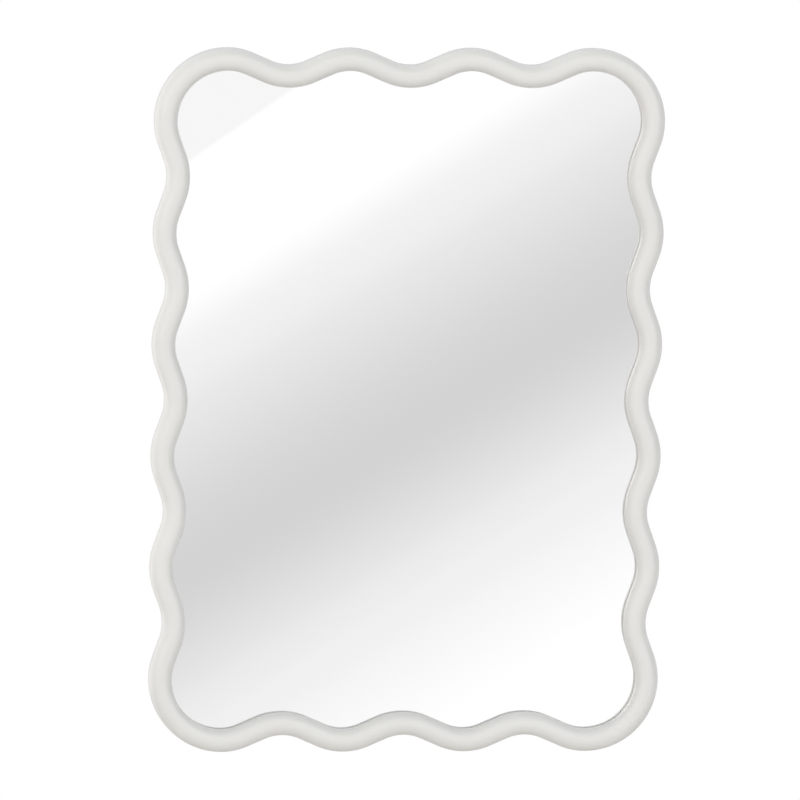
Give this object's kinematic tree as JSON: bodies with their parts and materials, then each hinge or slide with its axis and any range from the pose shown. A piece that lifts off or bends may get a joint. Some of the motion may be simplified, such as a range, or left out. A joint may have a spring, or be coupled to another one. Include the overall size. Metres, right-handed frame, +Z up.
{
  "type": "wavy wall mirror",
  "caption": "Wall mirror with a wavy rounded frame around a wavy-cut pane, a backing board held by turn buttons, and swinging rings that hang it on the wall.",
  "frame": {"origin": "middle of the mirror on the plane of the wall that it hangs on", "axes": "+X to the right of someone who faces the mirror, +Z up, +Y into the wall; the pane faces -Y"},
  "size_m": [0.61, 0.037, 0.84],
  "materials": {
    "white_lacquer": "satin off-white lacquer over wood",
    "silvered_glass": "polished float glass silvered on its back",
    "white_foam": "thin closed-cell packing foam",
    "brown_fibreboard": "bare hard fibreboard",
    "beech_dowel": "bare fluted beech",
    "zinc_plated_steel": "bright zinc plating",
    "bumper_rubber": "soft grey rubber"
  },
  "bodies": {
    "mirror": {"frame_top_rail": "white_lacquer", "frame_bottom_rail": "white_lacquer", "frame_right_stile": "white_lacquer", "frame_left_stile": "white_lacquer", "mitre_dowels": "beech_dowel", "backing_board": "brown_fibreboard", "foam_sheet": "white_foam", "mirror_glass": "silvered_glass", "turn_button_screws": "zinc_plated_steel", "hanger_strap_right": "zinc_plated_steel", "hanger_strap_left": "zinc_plated_steel", "hanger_screws": "zinc_plated_steel", "wall_bumper_upper_right": "bumper_rubber", "wall_bumper_upper_left": "bumper_rubber", "wall_bumper_lower_right": "bumper_rubber", "wall_bumper_lower_left": "bumper_rubber"},
    "turn_button_top_right": {"turn_button_top_right": "zinc_plated_steel"},
    "turn_button_top_left": {"turn_button_top_left": "zinc_plated_steel"},
    "turn_button_bottom_right": {"turn_button_bottom_right": "zinc_plated_steel"},
    "turn_button_bottom_left": {"turn_button_bottom_left": "zinc_plated_steel"},
    "turn_button_right_upper": {"turn_button_right_upper": "zinc_plated_steel"},
    "turn_button_right_middle": {"turn_button_right_middle": "zinc_plated_steel"},
    "turn_button_right_lower": {"turn_button_right_lower": "zinc_plated_steel"},
    "turn_button_left_upper": {"turn_button_left_upper": "zinc_plated_steel"},
    "turn_button_left_middle": {"turn_button_left_middle": "zinc_plated_steel"},
    "turn_button_left_lower": {"turn_button_left_lower": "zinc_plated_steel"},
    "hanger_ring_right": {"hanger_ring_right": "zinc_plated_steel"},
    "hanger_ring_left": {"hanger_ring_left": "zinc_plated_steel"}
  },
  "joints": [
    {"name": "turn_button_top_right_swivel", "type": "hinge", "parent": "mirror", "child": "turn_button_top_right", "pos_m": [0.07267, -0.006, 0.4085], "axis": [0, 1, 0], "continuous": true},
    {"name": "turn_button_top_left_swivel", "type": "hinge", "parent": "mirror", "child": "turn_button_top_left", "pos_m": [-0.07267, -0.006, 0.4085], "axis": [0, 1, 0], "continuous": true},
    {"name": "turn_button_bottom_right_swivel", "type": "hinge", "parent": "mirror", "child": "turn_button_bottom_right", "pos_m": [0.07267, -0.006, -0.4085], "axis": [0, 1, 0], "continuous": true},
    {"name": "turn_button_bottom_left_swivel", "type": "hinge", "parent": "mirror", "child": "turn_button_bottom_left", "pos_m": [-0.07267, -0.006, -0.4085], "axis": [0, 1, 0], "continuous": true},
    {"name": "turn_button_right_upper_swivel", "type": "hinge", "parent": "mirror", "child": "turn_button_right_upper", "pos_m": [0.278, -0.006, 0.2664], "axis": [0, 1, 0], "continuous": true},
    {"name": "turn_button_right_middle_swivel", "type": "hinge", "parent": "mirror", "child": "turn_button_right_middle", "pos_m": [0.278, -0.006, 0], "axis": [0, 1, 0], "continuous": true},
    {"name": "turn_button_right_lower_swivel", "type": "hinge", "parent": "mirror", "child": "turn_button_right_lower", "pos_m": [0.278, -0.006, -0.2664], "axis": [0, 1, 0], "continuous": true},
    {"name": "turn_button_left_upper_swivel", "type": "hinge", "parent": "mirror", "child": "turn_button_left_upper", "pos_m": [-0.278, -0.006, 0.2664], "axis": [0, 1, 0], "continuous": true},
    {"name": "turn_button_left_middle_swivel", "type": "hinge", "parent": "mirror", "child": "turn_button_left_middle", "pos_m": [-0.278, -0.006, 0], "axis": [0, 1, 0], "continuous": true},
    {"name": "turn_button_left_lower_swivel", "type": "hinge", "parent": "mirror", "child": "turn_button_left_lower", "pos_m": [-0.278, -0.006, -0.2664], "axis": [0, 1, 0], "continuous": true},
    {"name": "hanger_ring_right_swing", "type": "hinge", "parent": "mirror", "child": "hanger_ring_right", "pos_m": [0.2935, -0.00349, 0.2048], "axis": [-1, 0, 0], "range_deg": [0, 180]},
    {"name": "hanger_ring_left_swing", "type": "hinge", "parent": "mirror", "child": "hanger_ring_left", "pos_m": [-0.2935, -0.00349, 0.2048], "axis": [-1, 0, 0], "range_deg": [0, 180]}
  ]
}
